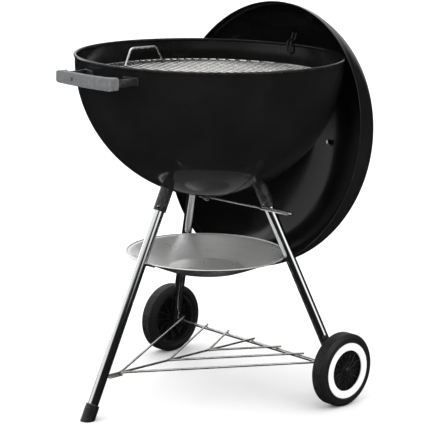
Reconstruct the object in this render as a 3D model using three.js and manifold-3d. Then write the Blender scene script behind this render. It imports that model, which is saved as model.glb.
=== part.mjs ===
// Kettle charcoal grill on three tubular legs, two of them on wheels.
// Millimetres, +Z up, floor at z = 0. The front leg and the bowl handle face -Y,
// the wheels stand at +X and -X, and the lid hangs on the bowl rim at +Y.
import * as THREE from 'three';
import { mergeVertices } from 'three/addons/utils/BufferGeometryUtils.js';
import Module from 'manifold-3d';

const wasm = await Module();
wasm.setup();

// Clearances
const touch = 0.3;          // between pieces that rest on or are fixed to each other
const running = 0.6;        // between pieces that turn or slide on each other
const mm = THREE.MathUtils;

// Bowl
const bowlRadius = 282;     // outside of the wall
const rimZ = 733;           // top of the rolled rim
const rimBead = 3.5;        // radius of the rolled rim
const bowlSkirt = 14;       // straight wall under the rim
const bowlDepth = 286.5;    // curved part below the skirt
const bowlPower = 1.95;     // roundness of the curve
const bowlWall = 1.2;
const facets = 40;          // flats round the bowl, the lid and the pan
const curveRows = 10;       // rows of flats from the rim of the bowl or lid to its middle
const ventInner = 30;       // ash openings in the bottom, from this radius
const ventOuter = 84;       // to this one
const ventHalfWidth = 10;
const shaftRadius = 4;

// Lid, whose skirt fits over the bowl's rim
const lidOver = 6;          // the skirt outside the bowl's wall
const lidRadius = bowlRadius + lidOver;
const lidSkirt = 18;
const lidStep = 4;          // step in from the skirt to the dome
const lidDepth = 165;
const lidPower = 1.75;
const lidWall = 1.2;
// The middle of the lid's mouth as it hangs on the rim, a share of the bowl's radius
// inside and below the rim.
const lidHang = {
  y: 0.548 * bowlRadius, z: rimZ - 0.656 * bowlRadius, lean: mm.degToRad(10.6),
};
const damperRadius = 40;
const damperSeat = 118;     // distance of the damper from the middle of the lid
const damperTurn = 90;      // from the side opposite the hook, seen from above the lid

// Legs
const legRadius = 11;
const legWall = 1.4;
const legTopRadius = 129.5; // of a leg's axis from the bowl's axis at legTopZ
const legTopZ = rimZ - bowlSkirt - bowlDepth - 2.5; // just under the bowl
const legFootRadius = 329;  // the same at the floor
const legAzimuths = { front: 270, right: 30, left: 150 };
const buttonTurns = { front: 25, right: -100, left: 100 };
const socketWall = 2.4;
const socketLength = 50;
const buttonRadius = 3.4;
const buttonProud = 2.6;
const capWall = 3;
const capLength = 34;

// Wheels and axle
const wheelRadius = 78.5;
const tyreWidth = 38;
const tyreInner = 60.2;
const wheelGap = 4.6;       // middle of a wheel from the side of its leg, along the axle
const ringInner = 44;
const axleRadius = 4;
const bossRadius = 13;
const spokes = 8;

// Wire rack between the front leg and the axle
const rackWire = 2.4;
const rackRows = { outer: 1, middle: 0.654, inner: 0.357 }; // lengths of the pairs of arms
const rackEase = 21.6;      // ends of the longest arms from the axes of the legs

// Ash pan
const panRadius = 172.6;    // the legs let a pan of this size down to its height
const panDepth = 38;
const panFloor = 82;
const panRim = 9;
const panWall = 1.5;

// Grates
const grateDrop = 47;       // middle of the cooking wires below the bowl's rim
const grateZ = rimZ - grateDrop;
const grateInset = 9.5;     // the cooking grate inside the bowl's wall
const grateRadius = bowlRadius - grateInset;
const grateWire = 2.4;
const gratePitch = 15;
const grateTurn = mm.degToRad(-5);
const loopWidth = 105;      // between a loop's feet
const loopTop = 68;
const loopHeight = 37;
const coalRadius = 219;
const coalWire = 3;
const coalPitch = 31;

// Bowl handle and lid handle
const gripLength = 171;
const gripHeight = 25;
const gripThick = 22;       // at its ends, which reach back towards the wall
const gripWaist = 12;       // between them
const gripOut = 64;         // front face of the bowl handle from the bowl's wall
const gripReach = bowlRadius + gripOut; // the same of the bowl handle from the bowl's axis
const gripZ = rimZ - 27;
const armSpread = 78;
const armDepth = 15;
const plateLength = 34;

// Colours, roughness and metalness
const finishes = {
  enamel: [0x0b0b0c, 0.12, 0.1],
  chrome: [0xd9dadb, 0.14, 1.0],
  plated: [0xcfcfcd, 0.3, 1.0],
  aluminium: [0xbfbfbd, 0.38, 1.0],
  blackSteel: [0x151515, 0.4, 0.6],
  blackPlastic: [0x121212, 0.55, 0.0],
  greyPlastic: [0x6c6e70, 0.5, 0.0],
  whitePlastic: [0xf1f1ee, 0.45, 0.0],
};

// ---------------------------------------------------------------- shape helpers

function toSolid(geometry) {
  const bare = geometry.clone();
  bare.deleteAttribute('normal');
  bare.deleteAttribute('uv');
  const merged = mergeVertices(bare, 1e-4);
  return new wasm.Manifold(new wasm.Mesh({
    numProp: 3,
    vertProperties: new Float32Array(merged.attributes.position.array),
    triVerts: new Uint32Array(merged.index.array),
  }));
}

function toGeometry(solid) {
  const mesh = solid.getMesh();
  const geometry = new THREE.BufferGeometry();
  geometry.setAttribute('position', new THREE.BufferAttribute(mesh.vertProperties, 3));
  geometry.setIndex(new THREE.BufferAttribute(mesh.triVerts, 1));
  geometry.computeVertexNormals();
  return geometry;
}

const join = (...parts) => toGeometry(parts.map(toSolid).reduce((a, b) => a.add(b)));
const cut = (body, ...tools) =>
  toGeometry(tools.map(toSolid).reduce((a, b) => a.subtract(b), toSolid(body)));
const keep = (body, region) => toGeometry(toSolid(body).intersect(toSolid(region)));

// A closed profile of [radius, height] pairs, anticlockwise, turned about Z.
function revolve(profile, segments) {
  const points = profile.map(([r, z]) => new THREE.Vector2(r, z));
  const area = points.reduce((sum, p, i) => {
    const q = points[(i + 1) % points.length];
    return sum + p.x * q.y - q.x * p.y;
  }, 0);
  if (area < 0) points.reverse();
  const open = points[0].x < 1e-9 && points[points.length - 1].x < 1e-9;
  if (!open) points.push(points[0].clone());
  return new THREE.LatheGeometry(points, segments).rotateX(Math.PI / 2);
}

// A round bar between two points.
function bar(from, to, radius, sides = 8) {
  const a = new THREE.Vector3(...from);
  const b = new THREE.Vector3(...to);
  const along = b.clone().sub(a);
  const turn = new THREE.Quaternion().setFromUnitVectors(
    new THREE.Vector3(0, 1, 0), along.clone().normalize());
  return new THREE.CylinderGeometry(radius, radius, along.length(), sides)
    .applyQuaternion(turn).translate(...a.add(b).multiplyScalar(0.5).toArray());
}

// A bent wire: round bars between points, with a ball at each corner.
function wire(points, radius, sides = 5) {
  const runs = points.slice(1).map((p, i) => bar(points[i], p, radius, sides));
  const balls = points.slice(1, -1).map((p) =>
    new THREE.SphereGeometry(radius * 1.02, sides, 3).translate(...p));
  return join(...runs, ...balls);
}

function block(size, centre) {
  return new THREE.BoxGeometry(...size).translate(...centre);
}

const polar = (radius, degrees, z = 0) => [
  radius * Math.cos(mm.degToRad(degrees)), radius * Math.sin(mm.degToRad(degrees)), z];
const turned = (geometry, degrees) => geometry.clone().rotateZ(mm.degToRad(degrees));

function piece(name, geometry, finish, parent) {
  const [color, roughness, metalness] = finishes[finish];
  const material = new THREE.MeshStandardMaterial({ color, roughness, metalness });
  const mesh = new THREE.Mesh(geometry, material);
  mesh.name = name;
  parent.add(mesh);
  return mesh;
}

const grill = new THREE.Group();
const frame = new THREE.Group();
grill.add(frame);

// ---------------------------------------------------------------- bowl

// Rows of a curved wall at an inset, as [radius, depth] from the skirt to the middle.
function domeRows(radius, depth, power, inset) {
  return Array.from({ length: curveRows + 1 }, (_, i) => {
    const a = (i / curveRows) * (Math.PI / 2);
    return [i === curveRows ? 0 : (radius - inset) * Math.cos(a) ** (2 / power),
      (depth - inset) * Math.sin(a) ** (2 / power)];
  });
}

// The part of those rows between two radii, with its ends on the flats.
function between(rows, outer, inner) {
  const depthAt = (r) => {
    const i = Math.max(1, rows.findIndex(([row]) => row <= r));
    const [[r0, d0], [r1, d1]] = [rows[i - 1], rows[i]];
    return d0 + ((d1 - d0) * (r0 - r)) / (r0 - r1);
  };
  const inside = rows.filter(([r]) => r < outer - 1e-6 && r > inner + 1e-6);
  return [[outer, depthAt(outer)], ...inside, [inner, depthAt(inner)]];
}

const bowlCurve = (inset, inner, outer = bowlRadius - inset) =>
  between(domeRows(bowlRadius, bowlDepth, bowlPower, inset), outer, inner)
    .map(([r, d]) => [r, rimZ - bowlSkirt - d]);
const bowlWallZ = (r, inset) => bowlCurve(inset, r)[bowlCurve(inset, r).length - 1][1];
const bowlWallR = (z, inset) => (bowlRadius - inset)
  * (1 - ((rimZ - bowlSkirt - z) / (bowlDepth - inset)) ** bowlPower) ** (1 / bowlPower);

// A filled bowl shape, for trimming what is fixed to the bowl.
const bowlFill = (inset) => revolve(
  [...bowlCurve(inset, 0), [0, rimZ + 40], [bowlRadius - inset, rimZ + 40]], facets);

const shaftHole = shaftRadius + running;
const beadR = bowlRadius - 0.5;
const beadArc = [-50, 20, 90, 160, 230].map((a) => [
  beadR + rimBead * Math.cos(mm.degToRad(a)),
  rimZ - rimBead + rimBead * Math.sin(mm.degToRad(a))]);
const bowlProfile = [
  ...bowlCurve(0, shaftHole).reverse(),
  [bowlRadius, rimZ - 2 * rimBead - 0.6],
  ...beadArc,
  [bowlRadius - bowlWall, rimZ - 2 * rimBead - 0.6],
  ...bowlCurve(bowlWall, shaftHole),
];
const leverAngle = 3.5;
const ventAngles = [60, 180, 300].map((a) => a + leverAngle);
const ventShape = new THREE.Shape();
ventShape.absarc(ventInner + ventHalfWidth / 2, 0, ventHalfWidth / 2, Math.PI / 2, 1.5 * Math.PI);
ventShape.absarc(ventOuter - ventHalfWidth, 0, ventHalfWidth, -Math.PI / 2, Math.PI / 2);
const ventTool = new THREE.ExtrudeGeometry(ventShape, {
  depth: 60, bevelEnabled: false, curveSegments: 5,
}).translate(0, 0, rimZ - bowlSkirt - bowlDepth - 20);
piece('bowl', cut(revolve(bowlProfile, facets), ...ventAngles.map((a) => turned(ventTool, a))),
  'enamel', frame);

// ---------------------------------------------------------------- bottom vent

const bladeGap = bowlWall + running;
const bladeThick = 1.4;
const bladeOuter = ventOuter + 6;
const bladeShell = revolve([
  ...bowlCurve(bladeGap, 0, bladeOuter),
  ...bowlCurve(bladeGap + bladeThick, 0, bladeOuter).reverse()], facets);
const armShape = new THREE.Shape();
const armHalf = 17;
armShape.moveTo(0, 0);
for (const a of [-armHalf, -armHalf / 2, 0, armHalf / 2, armHalf]) {
  armShape.lineTo((bladeOuter - 1) * Math.cos(mm.degToRad(a)), (bladeOuter - 1)
    * Math.sin(mm.degToRad(a)));
}
const armTool = new THREE.ExtrudeGeometry(armShape, { depth: 80, bevelEnabled: false })
  .translate(0, 0, bowlWallZ(0, 0) - 20);
const hubTool = new THREE.CylinderGeometry(20, 20, 80, 24).rotateX(Math.PI / 2)
  .translate(0, 0, bowlWallZ(0, 0) + 20);
const star = join(hubTool, ...[0, 120, 240].map((a) => turned(armTool, a + leverAngle)));
const bowlBottom = bowlWallZ(0, 0);
const leverThick = 2.4;
const leverTop = bowlBottom - 3;
const nutThick = 6;
const shaft = bar([0, 0, leverTop - leverThick - nutThick - 2],
  [0, 0, bowlBottom + bladeGap + bladeThick + 5], shaftRadius, 16);
const shaftHead = bar([0, 0, bowlBottom + bladeGap + bladeThick - 0.4],
  [0, 0, bowlBottom + bladeGap + bladeThick + 4], 9, 16);
piece('vent_blades', join(keep(bladeShell, star), shaft, shaftHead), 'aluminium', frame);

// The lever is a wire arm that ends in a flat finger loop.
const leverReach = 236;
const leverWire = 2.3;
const leverZ = leverTop - leverThick / 2;
const loopStart = leverReach - 74;
const loopHalf = 6.5;
const leverHub = cut(bar([0, 0, leverTop - leverThick], [0, 0, leverTop], 17, 20),
  bar([0, 0, leverTop - 20], [0, 0, leverTop + 20], shaftRadius + touch, 16));
const leverWireA = wire([[12, 0, leverZ - 1.2], [loopStart - 16, 0, leverZ - 1.2],
  [loopStart, loopHalf, leverZ - 1.2], [leverReach, loopHalf, leverZ - 1.2],
  [leverReach, -loopHalf, leverZ - 1.2], [loopStart, -loopHalf, leverZ - 1.2],
  [loopStart - 16, 0, leverZ - 1.2]], leverWire);
piece('vent_lever', turned(join(leverHub, leverWireA), leverAngle), 'plated', frame);
const nutTop = leverTop - leverThick - touch;
piece('vent_nut', cut(bar([0, 0, nutTop - nutThick], [0, 0, nutTop], 7.5, 6),
  bar([0, 0, nutTop - 20], [0, 0, nutTop + 20], shaftRadius + touch, 16)), 'plated', frame);

// ---------------------------------------------------------------- legs

const legSlope = (legFootRadius - legTopRadius) / legTopZ;
const legAxis = (z) => legFootRadius - legSlope * z;
const legTilt = Math.atan(legSlope);
const legPoint = (azimuth, z, out = 0) => polar(legAxis(z) + out, azimuth, z);
// A bar on a leg's axis, from one height to another.
const onLeg = (azimuth, z0, z1, radius, sides = 12) =>
  bar(legPoint(azimuth, z0), legPoint(azimuth, z1), radius, sides);

let seatZ = legTopZ;
while (bowlWallR(seatZ, 0) < legAxis(seatZ)) seatZ += 0.25;
const socketLow = seatZ - socketLength * Math.cos(legTilt);
const socketRadius = legRadius + touch + socketWall;
const legHigh = seatZ - 9;
const axleZ = wheelRadius;
const [legX, axleY] = legPoint(legAzimuths.right, axleZ);
const wheelTrack = legX + legRadius + wheelGap;
const legLow = { front: 9, right: axleZ - 9, left: axleZ - 9 };
const buttonZ = socketLow + 11;
const solidBowl = bowlFill(-touch);

for (const [side, azimuth] of Object.entries(legAzimuths)) {
  const facing = azimuth + buttonTurns[side];
  const centre = legPoint(azimuth, buttonZ);
  const away = (d) => {
    const [x, y] = polar(d, facing);
    return [centre[0] + x, centre[1] + y, centre[2]];
  };
  const hole = bar(away(0), away(40), buttonRadius + touch, 12);
  const bore = onLeg(azimuth, socketLow - 20, legHigh + 1, legRadius + touch);
  const sleeve = onLeg(azimuth, socketLow, seatZ + 30, socketRadius);
  piece(`leg_socket_${side}`, cut(sleeve, bore, solidBowl, hole), 'blackSteel', frame);

  const tools = [onLeg(azimuth, legLow[side] - 20, legHigh + 20, legRadius - legWall), hole];
  if (side !== 'front') {
    tools.push(bar([-400, axleY, axleZ], [400, axleY, axleZ], axleRadius + touch, 16));
  }
  piece(`leg_${side}`, cut(onLeg(azimuth, legLow[side], legHigh, legRadius), ...tools),
    'chrome', frame);
  piece(`leg_button_${side}`, join(
    bar(away(legRadius - legWall - 4.5), away(socketRadius + buttonProud), buttonRadius, 12),
    bar(away(legRadius - legWall - 6.5), away(legRadius - legWall - 3.2), buttonRadius + 0.6, 12),
  ), 'chrome', frame);
}

const capRadius = legRadius + touch + capWall;
const capHigh = capLength * Math.cos(legTilt);
piece('foot_cap', cut(onLeg(legAzimuths.front, -12, capHigh, capRadius),
  onLeg(legAzimuths.front, legLow.front - touch, capHigh + 20, legRadius + touch),
  block([400, 400, 60], [...legPoint(legAzimuths.front, 0).slice(0, 2), -30])),
'blackPlastic', frame);

// ---------------------------------------------------------------- axle and wheels

const tyreHalf = tyreWidth / 2;
const axleEnd = wheelTrack + tyreHalf - 1;
piece('axle', bar([-axleEnd, axleY, axleZ], [axleEnd, axleY, axleZ], axleRadius, 16),
  'plated', frame);

// Wheel pieces are turned about X, with the outer face towards +X.
const wheelLathe = (profile, segments) => revolve(profile, segments).rotateY(Math.PI / 2);
const shoulder = 7;
const tyreProfile = [
  [tyreInner, -tyreHalf + 3], [tyreInner + 3, -tyreHalf], [wheelRadius - shoulder, -tyreHalf],
  [wheelRadius - 2, -tyreHalf + shoulder - 2], [wheelRadius, -tyreHalf + shoulder + 3],
  [wheelRadius, tyreHalf - shoulder - 3], [wheelRadius - 2, tyreHalf - shoulder + 2],
  [wheelRadius - shoulder, tyreHalf], [tyreInner + 2, tyreHalf], [tyreInner, tyreHalf - 2],
];
const hubRadius = tyreInner - touch;
const ringThick = 3;
const ringFace = tyreHalf - 0.8;
const hubFace = ringFace - ringThick - touch;
const hubProfile = [
  [axleRadius + running, -1], [bossRadius, -1], [bossRadius, 4], [53, 4], [54, -14],
  [hubRadius, -14], [hubRadius, hubFace], [53, hubFace], [53, 7.5], [bossRadius, 7.5],
  [bossRadius, 16], [axleRadius + running, 16],
];
const hubRibs = Array.from({ length: spokes }, (_, i) => {
  const front = block([9, 2.6, 54 - bossRadius + 2], [10, 0, (54 + bossRadius) / 2 - 1]);
  const back = block([9, 2.6, 30], [0.5, 0, 41]);
  return [front, back].map((rib) => rib.rotateX((i / spokes) * 2 * Math.PI));
}).flat();
const hubShape = join(wheelLathe(hubProfile, 28), ...hubRibs);
const tyreShape = wheelLathe(tyreProfile, 28);
const ringShape = wheelLathe([
  [ringInner, ringFace - ringThick], [hubRadius, ringFace - ringThick],
  [hubRadius, ringFace], [ringInner, ringFace]], 28);
const capShape = wheelLathe([
  [axleRadius + touch, 16 + running], [8.5, 16 + running], [8.5, 18.5], [7, 21], [3.5, 22.6],
  [0, 23], [0, tyreHalf - 1 + touch], [axleRadius + touch, tyreHalf - 1 + touch]], 14);
for (const [side, sign] of [['right', 1], ['left', -1]]) {
  const wheel = new THREE.Group();
  wheel.position.set(sign * wheelTrack, axleY, axleZ);
  if (sign < 0) wheel.rotation.z = Math.PI;
  frame.add(wheel);
  piece(`tyre_${side}`, tyreShape, 'blackPlastic', wheel);
  piece(`wheel_hub_${side}`, hubShape, 'blackPlastic', wheel);
  piece(`wheel_ring_${side}`, ringShape, 'whitePlastic', wheel);
  piece(`axle_cap_${side}`, capShape, 'blackPlastic', wheel);
}

// ---------------------------------------------------------------- wire rack

const rackZ = axleZ + axleRadius + rackWire + touch;
const rackEnd = axleY + 7;
const legBack = -(legAxis(rackZ) - legRadius / Math.cos(legTilt));
const rackLong = rackEnd - legBack - 36;
const rackSplay = (legX - rackEase) / rackLong;
piece('rack_centre', bar([0, legBack + 1.5, rackZ], [0, rackEnd, rackZ], rackWire, 8),
  'plated', frame);
for (const [row, share] of Object.entries(rackRows)) {
  const apex = rackEnd - share * rackLong;
  for (const [side, sign] of [['right', 1], ['left', -1]]) {
    const start = 2 * rackWire + 1.2;
    const inset = start / rackSplay;
    piece(`rack_${row}_${side}`, bar(
      [sign * start, apex + inset, rackZ],
      [sign * rackSplay * (rackEnd - apex), rackEnd, rackZ], rackWire, 8), 'plated', frame);
  }
}
piece('rack_clip', block([16, rackEnd - rackLong - legBack - 1, 2.5],
  [0, (rackEnd - rackLong + legBack + 3.5) / 2, rackZ - rackWire - touch - 1.25]),
'plated', frame);

// ---------------------------------------------------------------- ash pan and its clips

const panGap = 0.9;         // between the pan's rim and a leg
const panZ = (legFootRadius - panRadius - panGap - legRadius / Math.cos(legTilt)) / legSlope;
const panSide = panRadius - panRim;
const panLow = panZ - panDepth;
piece('ash_pan', revolve([
  [0, panLow], [panFloor, panLow], [panSide, panZ - 3], [panRadius - 1, panZ - 3],
  [panRadius, panZ - 2], [panRadius, panZ - 0.8], [panRadius - 1.2, panZ],
  [panRadius - 2.4, panZ - 0.6], [panSide - 0.6, panZ - 3 + panWall],
  [panFloor - 0.5, panLow + panWall], [0, panLow + panWall]], facets), 'aluminium', frame);
const clipWire = 2;
const clipHalf = 22;        // half of the bar under the pan's rim
const clipZ = panZ - 3 - clipWire - touch;
const clipReach = panRadius - 4.1;
for (const [side, azimuth] of Object.entries(legAzimuths)) {
  const stop = legAxis(clipZ + clipWire) - legRadius / Math.cos(legTilt) - touch;
  const crossbar = bar([clipReach, -clipHalf, clipZ], [clipReach, clipHalf, clipZ], clipWire, 8);
  const stem = bar([clipReach, 0, clipZ], [stop, 0, clipZ], clipWire, 8);
  piece(`pan_clip_${side}`, turned(join(crossbar, stem), azimuth), 'blackSteel', frame);
}

// ---------------------------------------------------------------- grates

// A ring of wire with parallel wires across it and two bars beneath.
function grid(radius, wireRadius, pitch, barAt) {
  const count = Math.floor((radius - 3 * wireRadius) / pitch);
  const across = (y) => Math.sqrt((radius - wireRadius) ** 2 - y * y) - 0.6;
  const side = 1.7 * wireRadius;
  const ring = revolve([[radius - side, -side / 2 - 0.2], [radius, -side / 2 - 0.2],
    [radius, side / 2 + 0.2], [radius - side, side / 2 + 0.2]], facets);
  const wires = [];
  for (let i = -count; i <= count; i += 1) {
    wires.push(block([2 * across(i * pitch), side, side], [0, i * pitch, 0]));
  }
  const bars = [-barAt, barAt].map((x) =>
    block([side, 2 * across(x) - 32, side], [x, 0, 0.1 - side]));
  return join(ring, ...wires, ...bars);
}

const cookingGrate = new THREE.Group();
cookingGrate.position.z = grateZ;
cookingGrate.rotation.z = grateTurn;
frame.add(cookingGrate);
piece('cooking_grate', grid(grateRadius, grateWire, gratePitch, 0.433 * grateRadius),
  'plated', cookingGrate);
// The lifting loops stand on the wires next to their feet.
const loopAt = grateRadius - 54;
const loopLean = Math.atan2((loopWidth - loopTop) / 2, loopHeight);
const loopFoot = 0.85 * grateWire + touch + grateWire * Math.sin(loopLean);
for (const [side, sign] of [['right', 1], ['left', -1]]) {
  const at = (y) => (sign * gratePitch) / 2 + y;
  piece(`grate_loop_${side}`, wire([
    [sign * loopAt, at(-loopWidth / 2), loopFoot],
    [sign * (loopAt + 4), at(-loopTop / 2), loopHeight],
    [sign * (loopAt + 4), at(loopTop / 2), loopHeight],
    [sign * loopAt, at(loopWidth / 2), loopFoot]], grateWire),
  'plated', cookingGrate);
}

// The charcoal grate sits where the bowl narrows to its ring.
const coalZ = bowlWallZ(coalRadius, bowlWall + running) + coalWire + running;
piece('charcoal_grate', grid(coalRadius, coalWire, coalPitch, 0.475 * coalRadius), 'blackSteel', frame)
  .position.z = coalZ;

const insideBowl = bowlFill(bowlWall + touch);
for (const [i, azimuth] of [45, 135, 225, 315].entries()) {
  const shelf = block([26, 20, 2], [bowlRadius - 18, 0, grateZ - grateWire - touch - 1]);
  const back = block([10, 20, 42], [bowlRadius - 5, 0, grateZ - grateWire - touch - 21]);
  piece(`grate_bracket_${i + 1}`, turned(keep(join(shelf, back), insideBowl), azimuth),
    'plated', frame);
}

// ---------------------------------------------------------------- handles

// A flat grip with rounded ends, slightly bowed, standing along X with its face to -Y.
// Its back is hollowed for the fingers between the two ends.
function grip(length, height, thick) {
  const outline = new THREE.Shape();
  const half = length / 2;
  const bow = 5;
  const corner = 7;
  const end = 18;
  const waist = thick - gripWaist;
  outline.moveTo(-half, 0);
  outline.lineTo(-half, -thick + corner);
  outline.quadraticCurveTo(-half, -thick, -half + corner, -thick);
  outline.quadraticCurveTo(0, -thick - bow * 2, half - corner, -thick);
  outline.quadraticCurveTo(half, -thick, half, -thick + corner);
  outline.lineTo(half, 0);
  outline.lineTo(half - end + 6, 0);
  outline.quadraticCurveTo(half - end, -waist / 2, half - end - 10, -waist);
  outline.quadraticCurveTo(0, -waist - bow * 2, -half + end + 10, -waist);
  outline.quadraticCurveTo(-half + end, -waist / 2, -half + end - 6, 0);
  const slab = new THREE.ExtrudeGeometry(outline, {
    depth: height, bevelEnabled: false, curveSegments: 4,
  }).translate(0, 0, -height / 2);
  const face = new THREE.Shape();
  const round = height / 2 - 1;
  face.moveTo(-half + round, -height / 2);
  face.lineTo(half - 5, -height / 2);
  face.quadraticCurveTo(half, -height / 2, half, -height / 2 + 5);
  face.lineTo(half, height / 2 - 5);
  face.quadraticCurveTo(half, height / 2, half - 5, height / 2);
  face.lineTo(-half + round, height / 2);
  face.absarc(-half + round, 0, height / 2, Math.PI / 2, 1.5 * Math.PI);
  const front = new THREE.ExtrudeGeometry(face, {
    depth: 3 * thick, bevelEnabled: false, curveSegments: 4,
  }).rotateX(Math.PI / 2).translate(0, thick, 0);
  return keep(slab, front);
}

const gripBack = -(gripReach - gripThick);
const slotTool = block([5, 12, 7], [-27, gripBack - gripThick - 4, gripZ]);
piece('bowl_handle_grip', cut(grip(gripLength, gripHeight, gripThick)
  .translate(0, gripBack, gripZ), slotTool), 'greyPlastic', frame);
// Each arm runs from the back of the grip to a plate that lies on the bowl.
const plateBand = cut(revolve([[bowlRadius - 20, gripZ - 20], [bowlRadius + 3, gripZ - 20],
  [bowlRadius + 3, gripZ + 20], [bowlRadius - 20, gripZ + 20]], facets), solidBowl);
for (const [side, sign] of [['right', 1], ['left', -1]]) {
  const x = sign * armSpread;
  const wallAt = -Math.sqrt(bowlRadius ** 2 - armSpread ** 2);
  const [from, to] = [gripBack + touch, wallAt + 12];
  const arm = cut(block([4, to - from, armDepth], [x, (from + to) / 2, gripZ]), solidBowl);
  const plate = block([plateLength, 40, armDepth + 2],
    [x - sign * (plateLength / 2 - 3), wallAt, gripZ]);
  piece(`bowl_handle_arm_${side}`, join(arm, keep(plate, plateBand)), 'blackSteel', frame);
}

// ---------------------------------------------------------------- lid

// The lid's own frame has its rim circle in XY and the dome rising along +Z.
const lid = new THREE.Group();
lid.position.set(0, lidHang.y, lidHang.z);
lid.rotation.x = -Math.PI / 2 - lidHang.lean;
frame.add(lid);

const domeRadius = lidRadius - lidStep;
const lidCurve = (inset, inner, outer = domeRadius - inset) =>
  between(domeRows(domeRadius, lidDepth, lidPower, inset), outer, inner)
    .map(([r, d]) => [r, lidSkirt + 2 + d]);
const lidWallZ = (r, inset) => lidCurve(inset, r)[lidCurve(inset, r).length - 1][1];
const lidShell = revolve([
  [lidRadius - lidWall, 0], [lidRadius, 0], [lidRadius, lidSkirt],
  ...lidCurve(0, 0),
  ...lidCurve(lidWall, 0).reverse(),
  [lidRadius - lidWall, lidSkirt - 2]], facets);

// Damper frame: its seat on the dome, a quarter turn from the hook.
const seatLow = lidWallZ(damperSeat + 2, 0);
const seatHigh = lidWallZ(damperSeat - 2, 0);
const seatLean = Math.atan2(seatHigh - seatLow, 4);
const seatZLid = lidWallZ(damperSeat, 0);
function onDamper(geometry) {
  return geometry.clone().rotateX(-seatLean).translate(0, damperSeat, seatZLid)
    .rotateZ(mm.degToRad(damperTurn));
}
const holeRing = 22;
const ventHoles = (turn) => [0, 1, 2, 3].map((i) => {
  const [x, y] = polar(holeRing, 90 * i + turn);
  return onDamper(bar([x, y, -30], [x, y, 30], 9, 8));
});
const handleHoles = [-1, 1].map((sign) =>
  bar([sign * 46, 0, lidDepth - 30], [sign * 46, 0, lidDepth + 60], 3 + running, 12));
const rivetHole = onDamper(bar([0, 0, -30], [0, 0, 30], 3 + running, 8));
piece('lid', cut(lidShell, ...ventHoles(45), rivetHole, ...handleHoles), 'enamel', lid);

const damperGap = 2.2;
const damperShell = revolve([
  ...lidCurve(-damperGap - 1.4, damperSeat - 60, damperSeat + 60),
  ...lidCurve(-damperGap, damperSeat - 60, damperSeat + 60).reverse()], facets);
const damperDisc = keep(damperShell, onDamper(bar([0, 0, -30], [0, 0, 30], damperRadius, 24)));
const tab = onDamper(block([12, 16, 2], [0, damperRadius + 4, 5.4]));
const tabRiser = onDamper(block([12, 2.4, 5], [0, damperRadius - 3, 4]));
piece('lid_damper', cut(join(damperDisc, tabRiser, tab), rivetHole, ...ventHoles(0)),
  'aluminium', lid);
piece('damper_rivet', join(onDamper(bar([0, 0, -9], [0, 0, 6.5], 3, 12)),
  onDamper(bar([0, 0, 4], [0, 0, 6.5], 6.5, 16)),
  onDamper(bar([0, 0, -9], [0, 0, -5], 6.5, 16))), 'aluminium', lid);

// Handle on the crown: two bolts through the dome, a heat shield and a grip.
const crownZ = lidWallZ(46, 0);
const shieldZ = lidWallZ(0, 0) + 8;
const gripFoot = shieldZ + 2.6;
const postTop = gripFoot + 24;
piece('lid_handle_shield', cut(block([150, 46, 1.6], [0, 0, shieldZ]), ...handleHoles),
  'chrome', lid);
for (const [side, sign] of [['right', 1], ['left', -1]]) {
  const x = sign * 46;
  const spacer = cut(bar([x, 0, crownZ + 1.4], [x, 0, shieldZ - 0.8 - touch], 8, 16),
    bar([x, 0, crownZ - 40], [x, 0, shieldZ + 40], 3 + touch, 12));
  piece(`lid_handle_spacer_${side}`, spacer, 'blackPlastic', lid);
  const bolt = join(bar([x, 0, crownZ - 8], [x, 0, gripFoot + 12], 3, 12),
    bar([x, 0, crownZ - 8], [x, 0, crownZ - lidWall - 2.2], 7, 6));
  piece(`lid_handle_bolt_${side}`, bolt, 'chrome', lid);
}
const lidGripBar = grip(gripLength, gripHeight, gripThick).rotateX(-Math.PI / 2)
  .translate(0, 0, postTop - gripThick + gripWaist);
const lidFeet = [-46, 46].map((x) => block([24, 20, postTop - gripFoot],
  [x, 0, (postTop + gripFoot) / 2]));
const boltSockets = [-46, 46].map((x) =>
  bar([x, 0, gripFoot - 10], [x, 0, gripFoot + 13], 3 + touch, 12));
piece('lid_handle_grip', cut(join(lidGripBar, ...lidFeet), ...boltSockets), 'greyPlastic', lid);

// The hook is a bent wire fixed inside the dome that drops over the bowl's rim.
const hookAt = -32;
const hookHalf = 5;
const hookWire = 2;
const beadY = Math.sqrt(beadR ** 2 - hookAt ** 2);
const beadZ = rimZ - rimBead;
const around = rimBead + hookWire + 2 * running;
const hookRun = (x) => [[x, beadY + 12, beadZ + 27], [x, beadY + around - 1, beadZ + around + 3],
  [x, beadY - around, beadZ + around], [x, beadY - around, beadZ - 20]];
const hookPath = [...hookRun(hookAt - hookHalf), ...hookRun(hookAt + hookHalf).reverse()];
const toLid = new THREE.Matrix4().makeRotationX(lid.rotation.x)
  .setPosition(lid.position).invert();
const hookShape = wire(hookPath, hookWire).applyMatrix4(toLid);
const lidInside = revolve([
  [0, -60], [domeRadius - lidWall - touch, -60],
  ...lidCurve(lidWall + touch, 0)], facets);
piece('lid_hook', keep(hookShape, lidInside), 'plated', lid);

// ---------------------------------------------------------------- origin

// The floor point under the middle of the whole grill becomes the origin.
grill.updateMatrixWorld(true);
const extent = new THREE.Box3().setFromObject(frame, true);
frame.position.y = -(extent.min.y + extent.max.y) / 2;
frame.position.x = -(extent.min.x + extent.max.x) / 2;
frame.position.z = -extent.min.z;

export default grill;
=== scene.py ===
import math
import bmesh
import bpy
from mathutils import Matrix, Vector


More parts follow.
